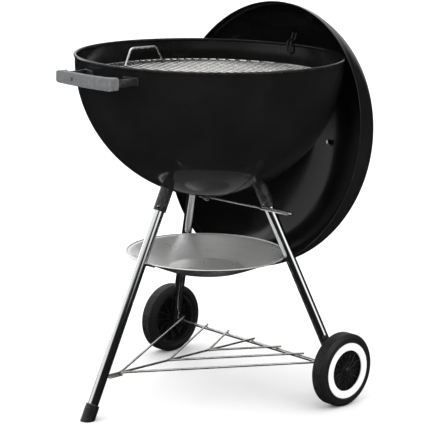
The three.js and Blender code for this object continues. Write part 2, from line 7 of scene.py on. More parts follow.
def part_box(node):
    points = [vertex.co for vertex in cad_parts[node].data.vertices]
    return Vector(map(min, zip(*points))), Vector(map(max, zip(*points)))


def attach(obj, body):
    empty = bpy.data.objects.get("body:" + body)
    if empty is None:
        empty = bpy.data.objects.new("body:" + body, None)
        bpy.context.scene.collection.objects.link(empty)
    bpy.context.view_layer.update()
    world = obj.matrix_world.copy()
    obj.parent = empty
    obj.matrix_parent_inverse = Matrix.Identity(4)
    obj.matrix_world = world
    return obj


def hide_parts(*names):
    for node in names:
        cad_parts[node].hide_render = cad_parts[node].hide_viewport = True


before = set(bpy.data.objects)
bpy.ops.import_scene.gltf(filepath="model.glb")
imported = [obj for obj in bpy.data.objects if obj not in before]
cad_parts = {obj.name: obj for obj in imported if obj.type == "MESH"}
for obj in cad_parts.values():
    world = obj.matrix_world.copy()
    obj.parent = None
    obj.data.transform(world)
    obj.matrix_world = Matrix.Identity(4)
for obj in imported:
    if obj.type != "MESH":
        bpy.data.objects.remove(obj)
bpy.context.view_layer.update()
print("frame loaded:", len(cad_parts), "nodes")

mm = 0.001
bowlLow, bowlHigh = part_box("bowl")
axisY = (bowlLow.y + bowlHigh.y) / 2        # the bowl's axis stands on x = 0 at this y
legAngles = {"front": 270, "right": 30, "left": 150}
sides = {"right": 1, "left": -1}


# small tools

def put(tree, kind, inputs=None, **settings):
    # adds a node; inputs may be values or sockets to link
    node = tree.nodes.new(kind)
    for key, value in settings.items():
        setattr(node, key, value)
    for key, value in (inputs or {}).items():
        socket = node.inputs[key]
        if isinstance(value, bpy.types.NodeSocket):
            tree.links.new(value, socket)
        else:
            socket.default_value = value
    return node


def point(x, y, z):
    # millimetres about the bowl's axis, to metres in the row frame
    return Vector((x * mm, y * mm + axisY, z * mm))


def polar(radius, degrees, z=0.0):
    a = math.radians(degrees)
    return (radius * math.cos(a), radius * math.sin(a), z)


def onAxis(height=0.0):
    return Matrix.Translation((0, axisY, height * mm))


def along(start, end):
    # a placement whose Z runs from start to end, with its origin at start
    turn = (end - start).to_track_quat("Z", "Y").to_matrix().to_4x4()
    return Matrix.Translation(start) @ turn


def placed(place, x, y, z):
    # millimetres in a placement, to metres in the row frame
    return place @ (Vector((x, y, z)) * mm)


def linked(name, data):
    thing = bpy.data.objects.new(name, data)
    bpy.context.scene.collection.objects.link(thing)
    return thing


def written(bm, mesh):
    bm.to_mesh(mesh)
    bm.free()
    return mesh


def sharpen(mesh, degrees=34):
    bm = bmesh.new()
    bm.from_mesh(mesh)
    if bm.calc_volume(signed=True) < 0:
        bmesh.ops.reverse_faces(bm, faces=bm.faces)
    limit = math.radians(degrees)
    for face in bm.faces:
        face.smooth = True
    for edge in bm.edges:
        edge.smooth = len(edge.link_faces) == 2 and edge.calc_face_angle(0) < limit
    return written(bm, mesh)


def meshOf(bm, name, matrix=None, degrees=34):
    if matrix is not None:
        bmesh.ops.transform(bm, matrix=matrix, verts=bm.verts)
    return sharpen(written(bm, bpy.data.meshes.new(name)), degrees)


def piece(name, mesh, finish, body, *nodes):
    thing = linked(name, mesh)
    mesh.materials.clear()
    mesh.materials.append(finish)
    for polygon in mesh.polygons:
        polygon.material_index = 0
    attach(thing, body)
    if nodes:
        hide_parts(*nodes)
    return thing


def rounded(profile, steps=4):
    # a third number on a point rounds that corner, cut back by so much
    out = []
    count = len(profile)
    for i, spot in enumerate(profile):
        here = Vector(spot[:2])
        if len(spot) < 3 or spot[2] <= 0:
            out.append(here)
            continue
        before, after = (Vector(profile[(i + k) % count][:2]) for k in (-1, 1))
        cutBack = min(spot[2], (before - here).length / 2, (after - here).length / 2)
        a = here + (before - here).normalized() * cutBack
        b = here + (after - here).normalized() * cutBack
        for step in range(steps + 1):
            t = step / steps
            out.append(a * (1 - t) ** 2 + here * 2 * t * (1 - t) + b * t * t)
    return [(p.x, p.y) for p in out]


def turnedBody(profile, segments=96):
    # a closed profile of (radius, height) in mm, turned about Z
    bm = bmesh.new()
    rings = []
    for radius, height in profile:
        if radius < 1e-6:
            rings.append([bm.verts.new((0, 0, height * mm))])
        else:
            rings.append([bm.verts.new(Vector(polar(radius * mm, 360 * i / segments, height * mm)))
                          for i in range(segments)])
    for a, b in zip(rings, rings[1:] + rings[:1]):
        for i in range(segments):
            j = (i + 1) % segments
            corners = [a[i % len(a)], a[j % len(a)], b[j % len(b)], b[i % len(b)]]
            corners = [v for k, v in enumerate(corners) if v not in corners[:k]]
            if len(corners) > 2:
                bm.faces.new(corners)
    return bm


def lathe(name, profile, matrix, segments=96, degrees=34):
    return meshOf(turnedBody(profile, segments), name, matrix, degrees)


def rod(start, end, radius, name="rod", segments=32):
    length = (end - start).length / mm
    return lathe(name, [(0, 0), (radius, 0), (radius, length), (0, length)],
                 along(start, end), segments)


def slab(size, centre, matrix=None):
    bm = bmesh.new()
    bmesh.ops.create_cube(bm, size=1)
    bmesh.ops.scale(bm, vec=Vector(size) * mm, verts=bm.verts)
    bmesh.ops.translate(bm, vec=Vector(centre) * mm, verts=bm.verts)
    return meshOf(bm, "slab", matrix)


def merged(name, *meshes):
    bm = bmesh.new()
    for mesh in meshes:
        bm.from_mesh(mesh)
    return written(bm, bpy.data.meshes.new(name))


def evaluated(holder):
    graph = bpy.context.evaluated_depsgraph_get()
    mesh = bpy.data.meshes.new_from_object(holder.evaluated_get(graph))
    bpy.data.objects.remove(holder)
    return mesh


def combined(name, mesh, tools):
    # exact cuts, turned back into a plain mesh
    holder = linked(name, mesh)
    toolThings = [linked("tool", tool) for tool in tools]
    for thing in toolThings:
        change = holder.modifiers.new("cut", "BOOLEAN")
        change.operation, change.solver, change.object = "DIFFERENCE", "EXACT", thing
    out = evaluated(holder)
    for thing in toolThings:
        bpy.data.objects.remove(thing)
    bm = bmesh.new()
    bm.from_mesh(out)
    bmesh.ops.remove_doubles(bm, verts=bm.verts, dist=1e-6)
    bmesh.ops.dissolve_degenerate(bm, edges=bm.edges, dist=1e-6)
    return sharpen(written(bm, out))


def beveled(name, mesh, width, steps=3, degrees=34):
    holder = linked(name, mesh)
    change = holder.modifiers.new("edges", "BEVEL")
    change.width, change.segments = width * mm, steps
    change.limit_method, change.angle_limit = "ANGLE", math.radians(28)
    change.use_clamp_overlap = True
    return sharpen(evaluated(holder), degrees)


def fromNode(node, width, steps=3, degrees=34):
    # a cleaned copy of a frame node with its edges eased
    bm = bmesh.new()
    bm.from_mesh(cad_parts[node].data)
    bmesh.ops.remove_doubles(bm, verts=bm.verts, dist=2e-6)
    bmesh.ops.dissolve_limit(bm, angle_limit=math.radians(1.2), verts=bm.verts, edges=bm.edges)
    return beveled(node, written(bm, bpy.data.meshes.new(node)), width, steps, degrees)


def softened(name, node, finish, body, width, steps=3, degrees=34):
    piece(name, fromNode(node, width, steps, degrees), finish, body, node)


# geometry trees

def newTree(name, sizes):
    tree = bpy.data.node_groups.new(name, "GeometryNodeTree")
    tree.interface.new_socket("Geometry", in_out="INPUT", socket_type="NodeSocketGeometry")
    for label, kind in sizes:
        tree.interface.new_socket(label, in_out="INPUT", socket_type="NodeSocket" + kind)
    tree.interface.new_socket("Geometry", in_out="OUTPUT", socket_type="NodeSocketGeometry")
    return tree, tree.nodes.new("NodeGroupInput").outputs


def endTree(tree, geometry, finish):
    real = put(tree, "GeometryNodeRealizeInstances", {"Geometry": geometry})
    done = put(tree, "GeometryNodeSetMaterial", {"Geometry": real.outputs[0], "Material": finish})
    put(tree, "NodeGroupOutput", {"Geometry": done.outputs[0]})
    return tree


def calc(tree, operation, a, b=0.0):
    return put(tree, "ShaderNodeMath", {0: a, 1: b}, operation=operation).outputs[0]


def grow(tree, start, settings, degrees=34):
    holder = linked("holder", start)
    change = holder.modifiers.new("shape", "NODES")
    change.node_group = tree
    for item in tree.interface.items_tree:
        if item.in_out == "INPUT" and item.name in settings:
            change[item.identifier] = settings[item.name]
    return sharpen(evaluated(holder), degrees)


def wireTreeMade():
    tree, given = newTree("bent wire", [("Wire Radius", "Float"), ("Bend Radius", "Float"),
                                        ("Bend Steps", "Int"), ("Sides", "Int"),
                                        ("Finish", "Material")])
    path = put(tree, "GeometryNodeMeshToCurve", {0: given["Geometry"]})
    bend = put(tree, "GeometryNodeFilletCurve", {"Curve": path.outputs[0],
               "Count": given["Bend Steps"], "Radius": given["Bend Radius"],
               "Limit Radius": True}, mode="POLY")
    ring = put(tree, "GeometryNodeCurvePrimitiveCircle", {"Resolution": given["Sides"],
               "Radius": given["Wire Radius"]})
    swept = put(tree, "GeometryNodeCurveToMesh", {"Curve": bend.outputs[0],
                "Profile Curve": ring.outputs[0], "Fill Caps": True})
    return endTree(tree, swept.outputs[0], given["Finish"])


def gridTreeMade():
    # parallel wires across a round ring, with two bars beneath them
    tree, given = newTree("round wire grid", [("Grid Radius", "Float"), ("Wire Radius", "Float"),
                          ("Ring Wire", "Float"), ("Pitch", "Float"), ("Wires Each Side", "Int"),
                          ("Bar Offset", "Float"), ("Bar Drop", "Float"),
                          ("Finish", "Material")])
    inner = calc(tree, "SUBTRACT", given["Grid Radius"], given["Ring Wire"])
    inner2 = calc(tree, "MULTIPLY", inner, inner)

    def reach(offset):
        square = calc(tree, "SUBTRACT", inner2, calc(tree, "MULTIPLY", offset, offset))
        return calc(tree, "MULTIPLY", calc(tree, "SQRT", square), 2.0)

    def rods(count, start, step, turn, length, drop):
        line = put(tree, "GeometryNodeMeshLine", {"Count": count, "Start Location": start,
                   "Offset": step}, mode="OFFSET")
        shape = put(tree, "GeometryNodeMeshCylinder", {"Vertices": 12,
                    "Radius": given["Wire Radius"], "Depth": 1.0})
        lay = put(tree, "GeometryNodeTransform", {"Geometry": shape.outputs["Mesh"],
                  "Rotation": turn})
        copies = put(tree, "GeometryNodeInstanceOnPoints", {"Points": line.outputs[0],
                     "Instance": lay.outputs[0], "Scale": length})
        return put(tree, "GeometryNodeTransform", {"Geometry": copies.outputs[0],
                   "Translation": drop}).outputs[0]

    def vector(**parts):
        return put(tree, "ShaderNodeCombineXYZ", parts).outputs[0]

    where = put(tree, "GeometryNodeInputPosition")
    apart = put(tree, "ShaderNodeSeparateXYZ", {0: where.outputs[0]}).outputs
    firstY = calc(tree, "MULTIPLY", calc(tree, "MULTIPLY", given["Wires Each Side"],
                                         given["Pitch"]), -1.0)
    number = calc(tree, "ADD", calc(tree, "MULTIPLY", given["Wires Each Side"], 2.0), 1.0)
    across = rods(number, vector(Y=firstY), vector(Y=given["Pitch"]), (0, math.pi / 2, 0),
                  vector(X=reach(apart["Y"]), Y=1.0, Z=1.0), (0, 0, 0))
    beneath = rods(2, vector(X=calc(tree, "MULTIPLY", given["Bar Offset"], -1.0)),
                   vector(X=calc(tree, "MULTIPLY", given["Bar Offset"], 2.0)),
                   (math.pi / 2, 0, 0), vector(X=1.0, Y=reach(apart["X"]), Z=1.0),
                   vector(Z=calc(tree, "MULTIPLY", given["Bar Drop"], -1.0)))
    circle = put(tree, "GeometryNodeCurvePrimitiveCircle", {"Resolution": 144, "Radius": inner})
    ring = put(tree, "GeometryNodeCurvePrimitiveCircle", {"Resolution": 12,
               "Radius": given["Ring Wire"]})
    hoop = put(tree, "GeometryNodeCurveToMesh", {"Curve": circle.outputs[0],
               "Profile Curve": ring.outputs[0]})
    together = put(tree, "GeometryNodeJoinGeometry")
    for part in (given["Geometry"], across, beneath, hoop.outputs[0]):
        tree.links.new(part, together.inputs[0])
    return endTree(tree, together.outputs[0], given["Finish"])


def wheelTreeMade():
    # one shape repeated round the X axis
    tree, given = newTree("round the axle", [("Count", "Int"), ("Finish", "Material")])
    line = put(tree, "GeometryNodeMeshLine", {"Count": given["Count"], "Offset": (0, 0, 0)},
               mode="OFFSET")
    share = calc(tree, "DIVIDE", 2 * math.pi, given["Count"])
    angle = calc(tree, "MULTIPLY", put(tree, "GeometryNodeInputIndex").outputs[0], share)
    turn = put(tree, "ShaderNodeCombineXYZ", {"X": angle}).outputs[0]
    copies = put(tree, "GeometryNodeInstanceOnPoints", {"Points": line.outputs[0],
                 "Instance": given["Geometry"], "Rotation": turn})
    return endTree(tree, copies.outputs[0], given["Finish"])


wireTree = wireTreeMade()
gridTree = gridTreeMade()
wheelTree = wheelTreeMade()
print("geometry trees built")


def paths(runs):
    # polylines in metres as a mesh of edges
    mesh = bpy.data.meshes.new("paths")
    spots, edges = [], []
    for run in runs:
        first = len(spots)
        spots += [tuple(p) for p in run]
        edges += [(first + i, first + i + 1) for i in range(len(run) - 1)]
    mesh.from_pydata(spots, edges, [])
    return mesh


def wires(runs, radius, finish, bend=6.0, steps=6, count=14):
    return grow(wireTree, paths(runs), {
        "Wire Radius": radius * mm, "Bend Radius": bend * mm, "Bend Steps": steps,
        "Sides": count, "Finish": finish}, degrees=50)


# shader groups

def effect(name, inputs, outputs):
    tree = bpy.data.node_groups.new(name, "ShaderNodeTree")
    for label, kind, value in inputs:
        socket = tree.interface.new_socket(label, in_out="INPUT", socket_type="NodeSocket" + kind)
        if value is not None:
            socket.default_value = value
    for label in outputs:
        tree.interface.new_socket(label, in_out="OUTPUT", socket_type="NodeSocketFloat")
    return tree, tree.nodes.new("NodeGroupInput").outputs


def noise(tree, vector, scale, detail=3.0, roughness=0.5):
    return put(tree, "ShaderNodeTexNoise", {"Vector": vector, "Scale": scale, "Detail": detail,
                                            "Roughness": roughness}).outputs["Fac"]


def spread(tree, value, fromLow, fromHigh, low=0.0, high=1.0):
    return put(tree, "ShaderNodeMapRange", {"Value": value, "From Min": fromLow,
               "From Max": fromHigh, "To Min": low, "To Max": high}).outputs[0]


def smudgeMade():
    # soft uneven shine between two roughness values
    tree, given = effect("smudge", [("Vector", "Vector", None), ("Scale", "Float", 9.0),
                                    ("Low", "Float", 0.1), ("High", "Float", 0.2)],
                         ["Roughness", "Mask"])
    wide = noise(tree, given["Vector"], given["Scale"], 4.0, 0.6)
    mask = spread(tree, wide, 0.35, 0.65)
    rough = put(tree, "ShaderNodeMapRange", {"Value": mask, "To Min": given["Low"],
                "To Max": given["High"]})
    put(tree, "NodeGroupOutput", {"Roughness": rough.outputs[0], "Mask": mask})
    return tree


def wearMade():
    # rubbed edges, broken up by noise
    tree, given = effect("edge wear", [("Vector", "Vector", None), ("Scale", "Float", 60.0),
                                       ("Amount", "Float", 0.5)], ["Mask"])
    point = tree.nodes.new("ShaderNodeNewGeometry").outputs["Pointiness"]
    edge = spread(tree, point, 0.505, 0.56)
    broken = spread(tree, noise(tree, given["Vector"], given["Scale"], 5.0, 0.65), 0.42, 0.62)
    mask = calc(tree, "MULTIPLY", calc(tree, "MULTIPLY", edge, broken), given["Amount"])
    put(tree, "NodeGroupOutput", {"Mask": mask})
    return tree


def grainMade():
    # moulded or sprayed surface: a fine height and flecks of the filler
    tree, given = effect("fine grain", [("Vector", "Vector", None), ("Scale", "Float", 900.0),
                                        ("Fleck Scale", "Float", 500.0)], ["Height", "Flecks"])
    fine = noise(tree, given["Vector"], given["Scale"], 2.0, 0.6)
    cells = put(tree, "ShaderNodeTexVoronoi", {"Vector": given["Vector"],
                "Scale": given["Fleck Scale"]}).outputs["Distance"]
    flecks = spread(tree, cells, 0.28, 0.12)
    put(tree, "NodeGroupOutput", {"Height": fine, "Flecks": flecks})
    return tree


def spunMade():
    # rings left by the spinning tool, about the vector's Z axis
    tree, given = effect("spun rings", [("Vector", "Vector", None), ("Rings", "Float", 900.0)],
                         ["Height", "Mask"])
    apart = put(tree, "ShaderNodeSeparateXYZ", {0: given["Vector"]}).outputs
    square = calc(tree, "ADD", calc(tree, "MULTIPLY", apart["X"], apart["X"]),
                  calc(tree, "MULTIPLY", apart["Y"], apart["Y"]))
    radius = calc(tree, "SQRT", square)
    line = put(tree, "ShaderNodeCombineXYZ", {"X": calc(tree, "MULTIPLY", radius, given["Rings"]),
               "Y": calc(tree, "MULTIPLY", apart["Z"], given["Rings"])}).outputs[0]
    fine = noise(tree, line, 1.0, 2.0)
    broad = noise(tree, line, 0.12, 2.0)
    put(tree, "NodeGroupOutput", {"Height": fine, "Mask": broad})
    return tree


def drawnMade():
    # long fine lines along the vector's Z axis, as on drawn tube and wire
    tree, given = effect("drawn lines", [("Vector", "Vector", None), ("Lines", "Float", 700.0)],
                         ["Height", "Mask"])
    flat = put(tree, "ShaderNodeVectorMath", {0: given["Vector"], 1: (1.0, 1.0, 0.02)},
               operation="MULTIPLY").outputs[0]
    fine = noise(tree, flat, given["Lines"], 2.0)
    broad = noise(tree, flat, calc(tree, "MULTIPLY", given["Lines"], 0.1), 2.0)
    put(tree, "NodeGroupOutput", {"Height": fine, "Mask": broad})
    return tree


smudge, edgeWear, fineGrain, spunRings, drawnLines = (
    smudgeMade(), wearMade(), grainMade(), spunMade(), drawnMade())


class Finish:
    # a material with its shader, its object coordinates and the group placements
    def __init__(self, name, fixed, centre=(0, 0, 0), turn=(0, 0, 0)):
        self.material = bpy.data.materials.new(name)
        self.material.use_nodes = True
        self.tree = self.material.node_tree
        self.shader = self.tree.nodes["Principled BSDF"]
        for key, value in fixed.items():
            self.shader.inputs[key].default_value = value
        where = self.tree.nodes.new("ShaderNodeTexCoord").outputs["Object"]
        self.vector = put(self.tree, "ShaderNodeMapping", {"Vector": where, "Location": centre,
                          "Rotation": turn}, vector_type="TEXTURE").outputs[0]

    def effect(self, group, **values):
        node = self.tree.nodes.new("ShaderNodeGroup")
        node.node_tree = group
        self.tree.links.new(self.vector, node.inputs["Vector"])
        for key, value in values.items():
            node.inputs[key].default_value = value
        return node.outputs

    def mix(self, mask, a, b):
        node = put(self.tree, "ShaderNodeMix", data_type="RGBA")
        self.tree.links.new(mask, node.inputs[0])
        for k, value in ((6, a), (7, b)):
            if isinstance(value, bpy.types.NodeSocket):
                self.tree.links.new(value, node.inputs[k])
            else:
                node.inputs[k].default_value = (*value, 1)
        return node.outputs[2]

    def join(self, key, value):
        self.tree.links.new(value, self.shader.inputs[key])

    def bump(self, height, distance, strength=1.0):
        node = put(self.tree, "ShaderNodeBump", {"Height": height, "Distance": distance,
                                                 "Strength": strength})
        self.join("Normal", node.outputs["Normal"])


enamelLook = {"colour": (0.0045, 0.0045, 0.005), "light": (0.0075, 0.0075, 0.008),
              "edge": (0.05, 0.05, 0.05), "low": 0.07, "high": 0.13, "peel": 110.0,
              "depth": 0.000015}


def enamelFinish(name):
    made = Finish(name, {"Specular IOR Level": 0.24})
    shine = made.effect(smudge, Scale=7.0, Low=enamelLook["low"], High=enamelLook["high"])
    wear = made.effect(edgeWear, Scale=90.0, Amount=0.5)
    peel = made.effect(fineGrain, **{"Scale": enamelLook["peel"], "Fleck Scale": 1500.0})
    made.join("Roughness", shine["Roughness"])
    base = made.mix(shine["Mask"], enamelLook["colour"], enamelLook["light"])
    made.join("Base Color", made.mix(wear["Mask"], base, enamelLook["edge"]))
    made.bump(peel["Height"], enamelLook["depth"])
    return made.material


chromeLook = {"colour": (0.80, 0.81, 0.82), "dull": (0.66, 0.67, 0.68), "low": 0.05,
              "high": 0.12, "lines": 1500.0}


def chromeFinish(name, turn=(0, 0, 0), centre=(0, 0, 0)):
    made = Finish(name, {"Metallic": 1.0}, centre, turn)
    lines = made.effect(drawnLines, Lines=chromeLook["lines"])
    shine = made.effect(smudge, Scale=14.0, Low=chromeLook["low"], High=chromeLook["high"])
    made.join("Base Color", made.mix(lines["Mask"], chromeLook["dull"], chromeLook["colour"]))
    made.join("Roughness", shine["Roughness"])
    made.bump(lines["Height"], 0.000004)
    return made.material


platedLook = {"colour": (0.78, 0.78, 0.77), "dull": (0.50, 0.49, 0.47), "low": 0.14, "high": 0.30}


def platedFinish(name):
    made = Finish(name, {"Metallic": 1.0})
    grain = made.effect(fineGrain, **{"Scale": 700.0, "Fleck Scale": 260.0})
    shine = made.effect(smudge, Scale=40.0, Low=platedLook["low"], High=platedLook["high"])
    made.join("Base Color", made.mix(shine["Mask"], platedLook["colour"], platedLook["dull"]))
    made.join("Roughness", shine["Roughness"])
    made.bump(grain["Height"], 0.00001)
    return made.material


spunLook = {"colour": (0.92, 0.92, 0.91), "dull": (0.76, 0.76, 0.75), "low": 0.26, "high": 0.36,
            "rings": 1300.0, "metal": 0.68}


def spunFinish(name, centre, turn=(0, 0, 0)):
    made = Finish(name, {"Anisotropic": 0.4}, centre, turn)
    facing = put(made.tree, "ShaderNodeSeparateXYZ", {
        0: made.tree.nodes.new("ShaderNodeNewGeometry").outputs["Normal"]}).outputs["Z"]
    made.join("Metallic", spread(made.tree, facing, -0.2, 0.1, 1.0, spunLook["metal"]))
    rings = made.effect(spunRings, Rings=spunLook["rings"])
    shine = made.effect(smudge, Scale=11.0, Low=spunLook["low"], High=spunLook["high"])
    made.join("Base Color", made.mix(rings["Mask"], spunLook["dull"], spunLook["colour"]))
    made.join("Roughness", shine["Roughness"])
    made.bump(rings["Height"], 0.00002)
    return made.material


coatedLook = {"colour": (0.005, 0.005, 0.0055), "light": (0.009, 0.009, 0.009),
              "bare": (0.30, 0.29, 0.28), "low": 0.28, "high": 0.42}


def coatedFinish(name):
    made = Finish(name, {"Specular IOR Level": 0.5})
    grain = made.effect(fineGrain, **{"Scale": 900.0, "Fleck Scale": 700.0})
    shine = made.effect(smudge, Scale=30.0, Low=coatedLook["low"], High=coatedLook["high"])
    wear = made.effect(edgeWear, Scale=160.0, Amount=0.15)
    base = made.mix(shine["Mask"], coatedLook["colour"], coatedLook["light"])
    made.join("Base Color", made.mix(wear["Mask"], base, coatedLook["bare"]))
    made.join("Roughness", shine["Roughness"])
    made.join("Metallic", wear["Mask"])
    made.bump(grain["Height"], 0.00003)
    return made.material


def mouldedFinish(name, look):
    made = Finish(name, {"Specular IOR Level": look.get("shine", 0.45)})
    grain = made.effect(fineGrain, **{"Scale": look["grain"], "Fleck Scale": look["flecks"]})
    shine = made.effect(smudge, Scale=22.0, Low=look["low"], High=look["high"])
    wear = made.effect(edgeWear, Scale=130.0, Amount=look["wear"])
    base = made.mix(grain["Flecks"], look["colour"], look["fleck"])
    made.join("Base Color", made.mix(wear["Mask"], base, look["edge"]))
    made.join("Roughness", shine["Roughness"])
    made.bump(grain["Height"], look["depth"])
    return made.material


rubberLook = {"colour": (0.005, 0.005, 0.005), "fleck": (0.009, 0.009, 0.009),
              "edge": (0.045, 0.045, 0.045), "low": 0.42, "high": 0.60, "grain": 1100.0,
              "flecks": 600.0, "wear": 0.5, "depth": 0.00006}
blackLook = {"colour": (0.004, 0.004, 0.0045), "fleck": (0.007, 0.007, 0.007),
             "edge": (0.03, 0.03, 0.03), "low": 0.30, "high": 0.46, "grain": 1300.0,
             "flecks": 900.0, "wear": 0.4, "depth": 0.00004}
greyLook = {"colour": (0.095, 0.098, 0.101), "fleck": (0.125, 0.128, 0.131),
            "edge": (0.30, 0.305, 0.31), "low": 0.46, "high": 0.60, "grain": 1400.0,
            "flecks": 620.0, "wear": 0.5, "depth": 0.00005}
whiteLook = {"colour": (0.74, 0.74, 0.73), "fleck": (0.70, 0.70, 0.69),
             "edge": (0.78, 0.78, 0.77), "low": 0.38, "high": 0.50, "grain": 1500.0,
             "flecks": 500.0, "wear": 0.3, "depth": 0.00002}

enamel = enamelFinish("gloss enamel")
plated = platedFinish("plated wire")
chrome = chromeFinish("bright chrome")
coated = coatedFinish("black coating")
rubber = mouldedFinish("tyre rubber", rubberLook)
blackPlastic = mouldedFinish("black plastic", blackLook)
greyPlastic = mouldedFinish("grey filled plastic", greyLook)
whitePlastic = mouldedFinish("white plastic", whiteLook)
spunPan = spunFinish("spun aluminium", (0, axisY, 0))
print("materials built")


# bowl

bowlSizes = {"radius": 282.0, "rimZ": 733.0, "bead": 3.2, "skirt": 14.0, "depth": 286.5,
             "power": 1.95, "wall": 1.2, "segments": 192, "rows": 44,
             "ventInner": 30.0, "ventOuter": 84.0, "ventHalf": 10.0, "ventTurn": 3.5}


def domeRows(radius, depth, power, count, inner=0.0):
    out = []
    for i in range(count + 1):
        a = i / count * math.pi / 2
        r = radius * math.cos(a) ** (2 / power) if i < count else 0.0
        if r < inner:
            r = inner
            out.append((r, depth * (1 - (r / radius) ** power) ** (1 / power)))
            break
        out.append((r, depth * math.sin(a) ** (2 / power)))
    return out


bowlTop = bowlSizes["rimZ"] - bowlSizes["skirt"]    # where the straight skirt ends
bowlBottom = bowlTop - bowlSizes["depth"]


def bowlProfile(s, hole=4.6):
    outer = [(r, bowlTop - d) for r, d in domeRows(s["radius"], s["depth"], s["power"],
                                                   s["rows"], hole)]
    inner = [(r, bowlTop - d) for r, d in domeRows(
        s["radius"] - s["wall"], s["depth"] - s["wall"], s["power"], s["rows"], hole)]
    beadAt = (s["radius"] - 0.5, s["rimZ"] - s["bead"])
    bead = [(beadAt[0] + s["bead"] * math.cos(math.radians(a)),
             beadAt[1] + s["bead"] * math.sin(math.radians(a))) for a in range(-55, 241, 18)]
    return (outer[::-1] + [(s["radius"], s["rimZ"] - 2 * s["bead"] - 0.6)] + bead
            + [(s["radius"] - s["wall"], s["rimZ"] - 2 * s["bead"] - 0.6)] + inner)


def keyhole(s, degrees):
    # a slot, round at its outer end, through the bottom
    bm = bmesh.new()
    spots = [(s["ventInner"] + s["ventHalf"] / 2 * (1 - math.sin(math.radians(a))),
              s["ventHalf"] / 2 * math.cos(math.radians(a))) for a in range(0, 181, 20)]
    spots += [(s["ventOuter"] - s["ventHalf"] + s["ventHalf"] * math.sin(math.radians(a)),
               -s["ventHalf"] * math.cos(math.radians(a))) for a in range(0, 181, 20)]
    base = [bm.verts.new((x * mm, y * mm, (bowlBottom - 20) * mm)) for x, y in spots]
    face = bm.faces.new(base)
    lifted = bmesh.ops.extrude_face_region(bm, geom=[face])["geom"]
    bmesh.ops.translate(bm, vec=(0, 0, 60 * mm),
                        verts=[v for v in lifted if isinstance(v, bmesh.types.BMVert)])
    return meshOf(bm, "slot", onAxis() @ Matrix.Rotation(math.radians(degrees), 4, "Z"))


slots = [keyhole(bowlSizes, a + bowlSizes["ventTurn"]) for a in (60, 180, 300)]
bowlShell = lathe("kettle bowl", bowlProfile(bowlSizes), onAxis(), bowlSizes["segments"])
bowlMesh = combined("kettle bowl", bowlShell, [merged("slots", *slots)])
piece("kettle_bowl", bowlMesh, enamel, "stand", "bowl")
bowlSolidRows = [(r, bowlTop - d) for r, d in domeRows(
    bowlSizes["radius"] + 0.3, bowlSizes["depth"] + 0.3, bowlSizes["power"], 60)]
bowlSolid = lathe("bowl solid", bowlSolidRows[::-1] + [(bowlSizes["radius"] + 0.3, 760),
                                                       (0, 760)], onAxis(), 144)
print("bowl built")

# vent

ventSizes = {"hubRadius": 17.0, "hubThick": 2.4, "leverWire": 2.3, "reach": 236.0,
             "loopStart": 162.0, "loopHalf": 6.5, "turn": 3.5}


def ventMade(s):
    top = bowlBottom - 3
    turn = onAxis() @ Matrix.Rotation(math.radians(s["turn"]), 4, "Z")
    z = top - s["hubThick"] / 2 - 1.2
    fork = s["loopStart"] - 16
    run = [(12, 0, z), (fork, 0, z), (s["loopStart"], s["loopHalf"], z),
           (s["reach"], s["loopHalf"], z), (s["reach"], -s["loopHalf"], z),
           (s["loopStart"], -s["loopHalf"], z), (fork + 2, -0.6, z)]
    arm = wires([[placed(turn, *p) for p in run]], s["leverWire"], plated, 5.5, 8, 16)
    hub = lathe("hub", rounded([(4.3, top - s["hubThick"]), (s["hubRadius"], top - s["hubThick"],
                0.8), (s["hubRadius"], top, 0.8), (4.3, top)]), turn, 48)
    piece("vent_lever_arm", merged("lever", arm, hub), plated, "vent_control", "vent_lever")
    nutTop = top - s["hubThick"] - 0.3
    nut = lathe("nut", [(4.3, nutTop - 6), (6.6, nutTop - 6), (7.5, nutTop - 5.2),
                        (7.5, nutTop - 0.6), (6.8, nutTop), (4.3, nutTop)], onAxis(), 6, 20)
    piece("vent_lever_nut", nut, plated, "vent_control", "vent_nut")
    softened("vent_blade_star", "vent_blades", spunPan, "vent_control", 0.4, 2, 24)


ventMade(ventSizes)
print("vent built")

# legs

legSizes = {"radius": 11.0, "wall": 1.4, "topRadius": 129.5, "topZ": 430.0, "footRadius": 329.0,
            "frontLow": 9.0, "rearLow": 69.5, "sleeveWall": 2.4, "sleeveLength": 50.0,
            "buttonRadius": 3.4, "buttonProud": 2.6, "capWall": 3.0, "capLength": 34.0}
buttonTurns = {"front": 25, "right": -100, "left": 100}
legSlope = (legSizes["footRadius"] - legSizes["topRadius"]) / legSizes["topZ"]
legTilt = math.atan(legSlope)


def legPoint(angle, z):
    return point(*polar(legSizes["footRadius"] - legSlope * z, angle, z))


def seatHeight():
    # where a leg's axis meets the bowl's wall
    z = bowlBottom + 0.5
    while True:
        deep = (bowlTop - z) / bowlSizes["depth"]
        wall = bowlSizes["radius"] * (1 - deep ** bowlSizes["power"]) ** (1 / bowlSizes["power"])
        if wall >= legSizes["footRadius"] - legSlope * z:
            return z
        z += 0.25


seatZ = seatHeight()
sleeveLow = seatZ - legSizes["sleeveLength"] * math.cos(legTilt)
buttonZ = sleeveLow + 11
axleLow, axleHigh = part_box("axle")
axleAt = Vector((0, (axleLow.y + axleHigh.y) / 2, (axleLow.z + axleHigh.z) / 2))


def tube(angle, low, high, outer, inner, ease=0.5):
    start, end = legPoint(angle, low), legPoint(angle, high)
    length = (end - start).length / mm
    return lathe("tube", rounded([(inner, 0), (outer, 0, ease), (outer, length, ease),
                                  (inner, length)], 3), along(start, end), 64)


